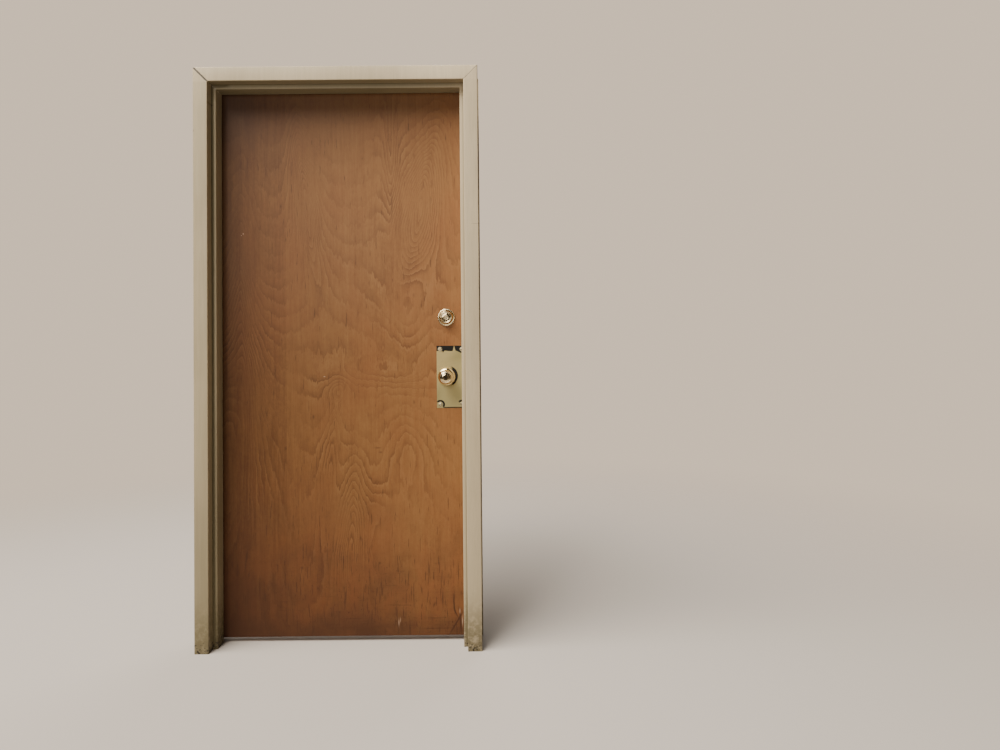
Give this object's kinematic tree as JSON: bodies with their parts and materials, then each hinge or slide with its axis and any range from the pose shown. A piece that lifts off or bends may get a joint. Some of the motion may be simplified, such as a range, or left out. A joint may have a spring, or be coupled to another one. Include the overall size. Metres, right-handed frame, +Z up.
{
  "type": "flush door in steel frame",
  "caption": "Single flush wood door hung in a pressed-steel double-rabbet frame, with a knob lock, a deadbolt and a brass wrap-around plate.",
  "frame": {"origin": "on the finished floor, midway between the jambs and at mid frame depth, halfway between the two floor anchor bolts", "axes": "+X from the hinge jamb to the strike jamb, +Y towards the side the door opens to, +Z up"},
  "size_m": [1.016, 0.2127, 2.0828],
  "materials": {
    "frame_paint": "satin putty paint on pressed steel, chipped and grimy near the floor",
    "galvanised_steel": "plain galvanised sheet",
    "hinge_steel": "satin hinge steel",
    "strike_steel": "satin plated steel, rubbed bright where the bolts slide",
    "zinc_plated_steel": "zinc-plated steel",
    "worn_brass": "olive brass sheet, dulled by handling",
    "polished_brass": "pale polished brass",
    "cylinder_brass": "satin brass",
    "silencer_rubber": "grey rubber",
    "birch_veneer": "rotary-cut birch veneer under orange-brown varnish, scuffed near the floor"
  },
  "bodies": {
    "frame": {"hinge_jamb": "frame_paint", "strike_jamb": "frame_paint", "frame_head": "frame_paint", "corner_gussets": "galvanised_steel", "floor_anchors": "galvanised_steel", "wall_anchors": "galvanised_steel", "hinge_reinforcement_1": "galvanised_steel", "hinge_reinforcement_2": "galvanised_steel", "hinge_reinforcement_3": "galvanised_steel", "latch_strike_reinforcement": "galvanised_steel", "deadbolt_strike_reinforcement": "galvanised_steel", "latch_dust_box": "galvanised_steel", "deadbolt_dust_box": "galvanised_steel", "frame_hinge_leaf_1": "hinge_steel", "frame_hinge_leaf_2": "hinge_steel", "frame_hinge_leaf_3": "hinge_steel", "hinge_pin_1": "hinge_steel", "hinge_pin_2": "hinge_steel", "hinge_pin_3": "hinge_steel", "hinge_tips": "hinge_steel", "hinge_frame_screws": "hinge_steel", "door_silencers": "silencer_rubber", "latch_strike_plate": "strike_steel", "deadbolt_strike_plate": "strike_steel", "strike_screws": "strike_steel"},
    "door": {"door_leaf": "birch_veneer", "door_hinge_leaf_1": "hinge_steel", "door_hinge_leaf_2": "hinge_steel", "door_hinge_leaf_3": "hinge_steel", "hinge_door_screws": "hinge_steel", "wrap_plate": "worn_brass", "wrap_plate_screws": "worn_brass", "outer_rose": "polished_brass", "inner_rose": "polished_brass", "lock_chassis": "zinc_plated_steel", "knob_mounting_plate": "zinc_plated_steel", "lock_mounting_screws": "zinc_plated_steel", "latch_case": "zinc_plated_steel", "latch_face_plate": "strike_steel", "face_plate_screws": "strike_steel", "deadbolt_collar": "polished_brass", "deadbolt_cylinder": "cylinder_brass", "deadbolt_case": "zinc_plated_steel", "deadbolt_face_plate": "strike_steel", "deadbolt_mounting_plate": "zinc_plated_steel", "deadbolt_mounting_screws": "zinc_plated_steel", "deadbolt_rose": "polished_brass"},
    "knob_set": {"outer_knob": "polished_brass", "inner_knob": "polished_brass", "knob_spindle": "zinc_plated_steel", "knob_cylinder": "cylinder_brass"},
    "knob_plug": {"knob_key_plug": "cylinder_brass"},
    "lock_button": {"turn_button": "polished_brass"},
    "latch": {"latch_bolt": "strike_steel"},
    "thumb_turn": {"thumb_turn": "polished_brass", "deadbolt_tailpiece": "zinc_plated_steel"},
    "deadbolt": {"deadbolt_bolt": "strike_steel"},
    "deadbolt_plug": {"deadbolt_key_plug": "cylinder_brass"}
  },
  "joints": [
    {"name": "door_swing", "type": "hinge", "parent": "frame", "child": "door", "pos_m": [-0.4556, 0.08893, 0], "axis": [0, 0, 1], "range_deg": [0, 170]},
    {"name": "knob_turn", "type": "hinge", "parent": "door", "child": "knob_set", "pos_m": [0.38299, 0.04765, 0.9652], "axis": [0, 1, 0], "range_deg": [0, 60], "stiffness_Nm_per_rad": 0.4},
    {"name": "knob_plug_turn", "type": "hinge", "parent": "knob_set", "child": "knob_plug", "pos_m": [0.38299, 0.04765, 0.9652], "axis": [0, 1, 0], "range_deg": [0, 90]},
    {"name": "lock_button_turn", "type": "hinge", "parent": "knob_set", "child": "lock_button", "pos_m": [0.38299, 0.04765, 0.9652], "axis": [0, 1, 0], "range_deg": [0, 90]},
    {"name": "latch_slide", "type": "slide", "parent": "door", "child": "latch", "axis": [-1, 0, 0], "range_m": [0, 0.0127]},
    {"name": "thumb_turn_turn", "type": "hinge", "parent": "door", "child": "thumb_turn", "pos_m": [0.38299, 0.04765, 1.1842], "axis": [0, 1, 0], "range_deg": [0, 90]},
    {"name": "deadbolt_slide", "type": "slide", "parent": "door", "child": "deadbolt", "axis": [1, 0, 0], "range_m": [0, 0.0254]},
    {"name": "deadbolt_plug_turn", "type": "hinge", "parent": "door", "child": "deadbolt_plug", "pos_m": [0.38299, 0.04765, 1.1842], "axis": [0, 1, 0], "range_deg": [0, 90]}
  ],
  "couplings": [
    {"joint": "latch_slide", "follows": "knob_turn", "m_per_rad": 0.01212},
    {"joint": "deadbolt_slide", "follows": "thumb_turn_turn", "m_per_rad": 0.01617}
  ]
}
